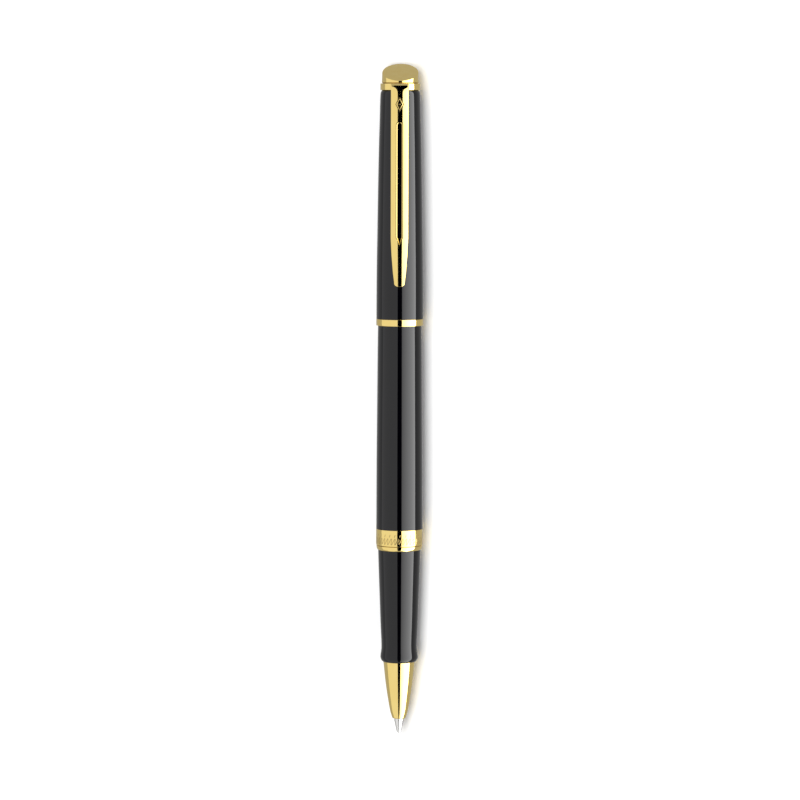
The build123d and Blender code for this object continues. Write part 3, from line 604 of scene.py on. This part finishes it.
# -----------------------------------------------------------------------------------------------------------
# Stage: a pale table under a soft lamp from the left, in a pale room. Two long softboxes, a dim one on the left and
# a brighter one on the right, give the gloss, with a dark gap between them over the camera.
# -----------------------------------------------------------------------------------------------------------
floor_mesh = bpy.data.meshes.new("floor")
floor_mesh.from_pydata([(-2, -2, 0), (2, -2, 0), (2, 2, 0), (-2, 2, 0)], [], [(0, 1, 2, 3)])
floor = bpy.data.objects.new("floor", floor_mesh)
bpy.context.scene.collection.objects.link(floor)
paper = surface("paper", (0.9, 0.9, 0.9), 0.0, 0.9, {"Specular IOR Level": 0.0})
floor_mesh.materials.append(paper)
floor.visible_glossy = False


CARD_DISTANCE, CARD_HALF_LENGTH = 1.2, 3.0


def card(name, near, far, glow):
    """A flat card along the pen, seen only in gloss. Its long edges stand at CARD_DISTANCE, at the angles near and
    far round the pen's axis from straight up, in degrees; glow is the white light given off at each edge."""
    edges = [(CARD_DISTANCE * math.sin(a), CARD_DISTANCE * math.cos(a) + AXIS_Z)
             for a in (math.radians(near), math.radians(far))]
    points = [(x, y, z) for x, z in edges for y in (-CARD_HALF_LENGTH, CARD_HALF_LENGTH)]
    mesh = bpy.data.meshes.new(name)
    mesh.from_pydata(points, [], [(0, 1, 3, 2)])
    glow_layer = mesh.attributes.new("glow", "FLOAT", "POINT")
    glow_layer.data.foreach_set("value", np.repeat(glow, 2).astype(np.float32))
    material = bpy.data.materials.new(name)
    material.use_nodes = True
    tree = material.node_tree
    tree.nodes.clear()
    read = tree.nodes.new("ShaderNodeAttribute")
    read.attribute_name = "glow"
    light = tree.nodes.new("ShaderNodeEmission")
    output = tree.nodes.new("ShaderNodeOutputMaterial")
    tree.links.new(read.outputs["Fac"], light.inputs["Strength"])
    tree.links.new(light.outputs["Emission"], output.inputs["Surface"])
    material.cycles.emission_sampling = "NONE"
    mesh.materials.append(material)
    piece = bpy.data.objects.new(name, mesh)
    bpy.context.scene.collection.objects.link(piece)
    for ray in ("camera", "diffuse", "transmission", "volume_scatter", "shadow"):
        setattr(piece, "visible_" + ray, False)


card("left_softbox", -98, -10, (0.9, 0.9))
card("gap", -10, 12, (0.0, 0.0))
card("right_softbox", 12, 86, (1.8, 6.0))

lamp_data = bpy.data.lights.new("lamp", "AREA")
lamp_data.shape, lamp_data.size, lamp_data.size_y = "RECTANGLE", 0.46, 1.2
lamp_data.energy = 16.8
lamp = bpy.data.objects.new("lamp", lamp_data)
lamp.location = (-0.276, 0.0, 1.3)
lamp.rotation_euler = (0, math.atan2(-0.276, 1.3), 0)
lamp.visible_glossy = False
bpy.context.scene.collection.objects.link(lamp)

world = bpy.data.worlds.new("room")
world.use_nodes = True
world.node_tree.nodes["Background"].inputs["Color"].default_value = (1, 1, 1, 1)
world.node_tree.nodes["Background"].inputs["Strength"].default_value = 0.48
bpy.context.scene.world = world
bpy.context.scene.view_settings.view_transform = "Standard"

# The camera stands over the cap's end, a little to the right of the pen. LEAN is how far the frame is turned from
# the pen's axis, in radians, about a fifth of a degree.
CAMERA_HEIGHT, FRAME_WIDTH, LEAN = 0.85, 0.1766, 0.0039
camera_data = bpy.data.cameras.new("camera")
camera_data.sensor_width = 36
camera = bpy.data.objects.new("camera", camera_data)
eye = Vector((0.018, TIP_Y + 142.6 * MM, AXIS_Z + CAMERA_HEIGHT))
aim = Vector((0.00007, TIP_Y + 74.2 * MM, AXIS_Z))
camera_data.lens = 36 * (eye - aim).length / FRAME_WIDTH
camera.location = eye
back = (eye - aim).normalized()
side = Vector((1, LEAN, 0)).cross(back).cross(back).normalized() * -1
camera.rotation_euler = Matrix((side, back.cross(side), back)).transposed().to_euler()
bpy.context.scene.collection.objects.link(camera)
bpy.context.scene.camera = camera
